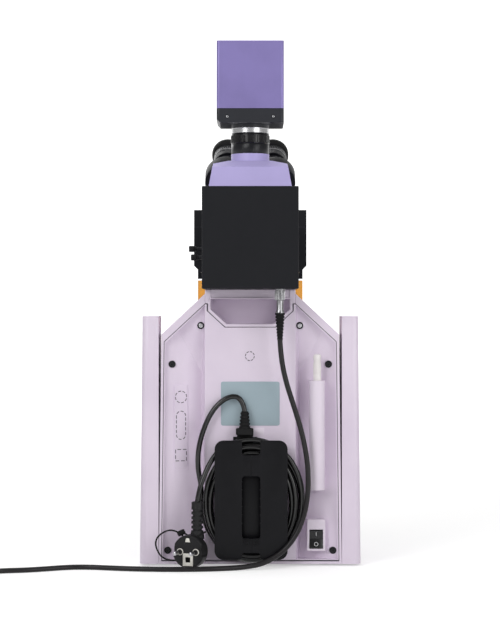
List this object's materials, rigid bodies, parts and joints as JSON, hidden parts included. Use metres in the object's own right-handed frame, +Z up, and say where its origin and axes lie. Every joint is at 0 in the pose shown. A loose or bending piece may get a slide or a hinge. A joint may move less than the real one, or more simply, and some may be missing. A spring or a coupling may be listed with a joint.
{
  "type": "fluorescence microscope",
  "caption": "Upright fluorescence microscope with lamp house, amber shield, binocular head, top camera, focusing stage, rotating nosepiece, power cord winder and lamp cable.",
  "frame": {"origin": "centre of the instrument's footprint at the bench surface, cords left out", "axes": "+Z up from the bench, +Y from the eyepieces to the rear, +X to the operator's right"},
  "size_m": [0.5078, 0.4533, 0.6333],
  "materials": {
    "enamel_pale": "pale lavender-grey satin enamel on cast aluminium",
    "enamel_shade": "slightly darker lavender-grey satin enamel on aluminium",
    "head_paint": "lavender satin enamel on cast aluminium",
    "camera_purple": "purple anodised, fine matt",
    "black_paint": "matt black enamel on aluminium",
    "black_anodised": "black anodised, satin",
    "black_plastic": "moulded black plastic, fine grain",
    "rubber_black": "matt black rubber",
    "cable_jacket": "satin dark grey-brown cable jacket",
    "cord_jacket": "glossy black cord jacket",
    "steel": "satin machined steel",
    "bright_metal": "satin chrome",
    "lens_glass": "coated optical glass",
    "amber_shield": "amber transparent acrylic",
    "label_foil": "bare grey-teal foil",
    "pale_plastic": "pale moulded plastic",
    "milky_plastic": "milky translucent plastic",
    "white_dial": "pale grey plastic"
  },
  "bodies": {
    "stand": {"base_casting": "enamel_pale", "rubber_feet": "rubber_black", "arm_casting": "enamel_pale", "rear_housing": "enamel_pale", "rear_cover": "enamel_pale", "side_wings": "enamel_pale", "cover_screws": "black_anodised", "rating_label": "label_foil", "tool_holder": "pale_plastic", "switch_frame": "pale_plastic", "power_inlet": "black_plastic", "cord_winder": "black_plastic", "power_supply": "steel", "transmitted_lamp": "white_dial", "field_lens_mount": "black_anodised", "field_lens": "lens_glass", "fluor_housing": "black_paint", "fluor_lid": "black_paint", "illuminator_tube": "black_paint", "lamp_house": "black_paint", "lamp_module": "black_anodised", "nosepiece_mount": "black_paint", "lamp_plugs": "bright_metal", "lamp_cable": "cable_jacket", "lamp_coil": "cable_jacket", "mains_lead": "cord_jacket", "mains_winding": "cord_jacket", "mains_connector": "rubber_black", "mains_plug": "rubber_black"},
    "power_switch": {"switch_rocker": "black_plastic"},
    "driver": {"hex_driver": "milky_plastic"},
    "field_iris": {"field_iris_ring": "black_anodised"},
    "dimmer": {"brightness_knob": "black_plastic"},
    "coarse_focus": {"coarse_knobs": "enamel_shade"},
    "fine_focus": {"fine_knobs": "black_plastic"},
    "focus_slide": {"stage_carrier": "black_paint"},
    "stage": {"stage_top": "black_anodised"},
    "holder": {"specimen_holder": "steel"},
    "finger": {"holder_finger": "steel"},
    "stage_y_drive": {"stage_y_knob": "black_plastic"},
    "stage_x_drive": {"stage_x_knob": "black_plastic"},
    "condenser": {"condenser_carrier": "black_paint", "condenser_body": "black_anodised"},
    "condenser_iris": {"condenser_iris_ring": "black_anodised"},
    "condenser_lift": {"condenser_knob": "black_plastic"},
    "nosepiece": {"nosepiece_turret": "bright_metal", "objectives": "steel"},
    "filter_wheel": {"filter_turret": "black_anodised"},
    "filter_rod": {"filter_slider": "black_plastic"},
    "shutter_rod": {"shutter_slider": "black_plastic"},
    "shield": {"uv_shield": "amber_shield"},
    "head": {"head_body": "head_paint", "cmount_adapter": "black_anodised", "camera_base": "black_anodised", "camera_body": "camera_purple"},
    "camera_lock": {"cmount_ring": "black_anodised"},
    "eye_right": {"eyetube_right": "black_paint"},
    "eye_left": {"eyetube_left": "black_paint"},
    "diopter_right": {"eyepiece_right": "black_plastic"},
    "diopter_left": {"eyepiece_left": "black_plastic"}
  },
  "joints": [
    {"name": "switch_rock", "type": "hinge", "parent": "stand", "child": "power_switch", "pos_m": [-0.0765, 0.14619, 0.0312], "axis": [1, 0, 0], "range_deg": [-14, 0]},
    {"name": "driver_lift", "type": "slide", "parent": "stand", "child": "driver", "axis": [0, 0, 1], "range_m": [0, 0.16]},
    {"name": "field_iris_turn", "type": "hinge", "parent": "stand", "child": "field_iris", "pos_m": [0, -0.05761, 0.075], "axis": [0, 0, 1], "range_deg": [-60, 60]},
    {"name": "dimmer_turn", "type": "hinge", "parent": "stand", "child": "dimmer", "pos_m": [-0.0927, -0.10961, 0.034], "axis": [-1, 0, 0], "range_deg": [0, 270]},
    {"name": "focus_travel", "type": "slide", "parent": "stand", "child": "focus_slide", "axis": [0, 0, 1], "range_m": [-0.028, 0.0015]},
    {"name": "coarse_turn", "type": "hinge", "parent": "stand", "child": "coarse_focus", "pos_m": [0, 0.05439, 0.095], "axis": [1, 0, 0], "range_deg": [-270.38, 15.32]},
    {"name": "fine_turn", "type": "hinge", "parent": "stand", "child": "fine_focus", "pos_m": [0, 0.05439, 0.095], "axis": [1, 0, 0], "continuous": true},
    {"name": "stage_y_travel", "type": "slide", "parent": "focus_slide", "child": "stage", "axis": [0, 1, 0], "range_m": [-0.027, 0.027]},
    {"name": "stage_x_travel", "type": "slide", "parent": "stage", "child": "holder", "axis": [1, 0, 0], "range_m": [-0.038, 0.038]},
    {"name": "finger_swing", "type": "hinge", "parent": "holder", "child": "finger", "pos_m": [0.0445, -0.03161, 0.216], "axis": [0, 0, 1], "range_deg": [0, 35]},
    {"name": "stage_y_turn", "type": "hinge", "parent": "stage", "child": "stage_y_drive", "pos_m": [0.078, -0.03761, 0.182], "axis": [0, 0, 1], "range_deg": [-272, 272]},
    {"name": "stage_x_turn", "type": "hinge", "parent": "stage", "child": "stage_x_drive", "pos_m": [0.078, -0.03761, 0.165], "axis": [0, 0, 1], "range_deg": [-382, 382]},
    {"name": "condenser_travel", "type": "slide", "parent": "focus_slide", "child": "condenser", "axis": [0, 0, 1], "range_m": [-0.02, 0]},
    {"name": "condenser_turn", "type": "hinge", "parent": "focus_slide", "child": "condenser_lift", "pos_m": [-0.0263, 0.03509, 0.158], "axis": [1, 0, 0], "range_deg": [-242, 2]},
    {"name": "condenser_iris_turn", "type": "hinge", "parent": "condenser", "child": "condenser_iris", "pos_m": [0, -0.05761, 0.167], "axis": [0, 0, 1], "range_deg": [-35, 35]},
    {"name": "nosepiece_turn", "type": "hinge", "parent": "stand", "child": "nosepiece", "pos_m": [0, -0.05761, 0.36358], "axis": [0, -0.2756, 0.9613], "continuous": true},
    {"name": "filter_wheel_turn", "type": "hinge", "parent": "stand", "child": "filter_wheel", "pos_m": [0, -0.08761, 0.352], "axis": [0, 0, 1], "continuous": true},
    {"name": "filter_rod_travel", "type": "slide", "parent": "stand", "child": "filter_rod", "axis": [1, 0, 0], "range_m": [-0.008, 0]},
    {"name": "shutter_rod_travel", "type": "slide", "parent": "stand", "child": "shutter_rod", "axis": [1, 0, 0], "range_m": [-0.008, 0]},
    {"name": "shield_lift", "type": "hinge", "parent": "stand", "child": "shield", "pos_m": [0, -0.11911, 0.34], "axis": [-1, 0, 0], "range_deg": [0, 90]},
    {"name": "head_turn", "type": "hinge", "parent": "stand", "child": "head", "pos_m": [0, -0.05761, 0.4213], "axis": [0, 0, 1], "continuous": true},
    {"name": "camera_lock_turn", "type": "hinge", "parent": "head", "child": "camera_lock", "pos_m": [0, -0.05761, 0.513], "axis": [0, 0, 1], "range_deg": [-90, 90]},
    {"name": "eye_right_swing", "type": "hinge", "parent": "head", "child": "eye_right", "pos_m": [0, -0.12255, 0.43951], "axis": [0, -0.866, 0.5], "range_deg": [-30, 9.2]},
    {"name": "eye_left_swing", "type": "hinge", "parent": "head", "child": "eye_left", "pos_m": [0, -0.12255, 0.43951], "axis": [0, -0.866, 0.5], "range_deg": [-9.3, 30.1]},
    {"name": "diopter_right_turn", "type": "hinge", "parent": "eye_right", "child": "diopter_right", "pos_m": [0.03, -0.1113, 0.459], "axis": [0, -0.866, 0.5], "range_deg": [-170, 170]},
    {"name": "diopter_left_turn", "type": "hinge", "parent": "eye_left", "child": "diopter_left", "pos_m": [-0.03, -0.1113, 0.459], "axis": [0, -0.866, 0.5], "range_deg": [-170, 170]}
  ],
  "couplings": [
    {"joint": "coarse_turn", "follows": "focus_travel", "rad_per_m": 166.67},
    {"joint": "stage_y_turn", "follows": "stage_y_travel", "rad_per_m": 174.53},
    {"joint": "stage_x_turn", "follows": "stage_x_travel", "rad_per_m": 174.53},
    {"joint": "condenser_turn", "follows": "condenser_travel", "rad_per_m": 209.44},
    {"joint": "eye_left_swing", "follows": "eye_right_swing", "ratio": -1}
  ]
}
